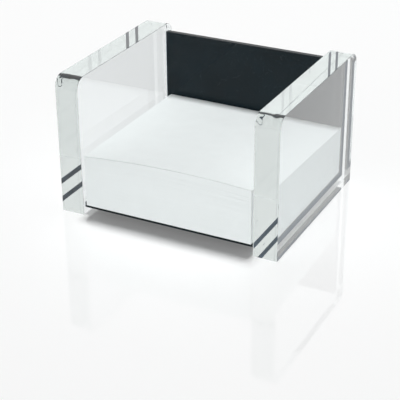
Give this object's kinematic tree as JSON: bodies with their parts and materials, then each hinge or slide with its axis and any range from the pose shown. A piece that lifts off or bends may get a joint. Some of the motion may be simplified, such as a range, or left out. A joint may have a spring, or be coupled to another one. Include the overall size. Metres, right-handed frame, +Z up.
{
  "type": "memo pad holder",
  "caption": "Memo box open at the top and front, with thick clear side blocks and a black base and back between them, holding a pile of loose square note sheets that lift out.",
  "frame": {"origin": "on the desk, in the middle of the rectangle that the box and its sheets cover", "axes": "+X to the right, +Y from the open front to the black back panel, +Z up"},
  "size_m": [0.118, 0.0968, 0.0723],
  "materials": {
    "clear_acrylic": "clear, polished on every face",
    "black_acrylic": "opaque black, high gloss",
    "white_paper": "uncoated, matte"
  },
  "bodies": {
    "holder": {"left_side_block": "clear_acrylic", "right_side_block": "clear_acrylic", "base_panel": "black_acrylic", "back_panel": "black_acrylic"},
    "pile": {"memo_pile": "white_paper"},
    "sheet": {"top_sheet": "white_paper"}
  },
  "joints": [
    {"name": "pile_lift", "type": "slide", "parent": "holder", "child": "pile", "axis": [0, 0, 1], "range_m": [0, 0.075]},
    {"name": "top_sheet_lift", "type": "slide", "parent": "pile", "child": "sheet", "axis": [0, 0, 1], "range_m": [0, 0.045]}
  ]
}
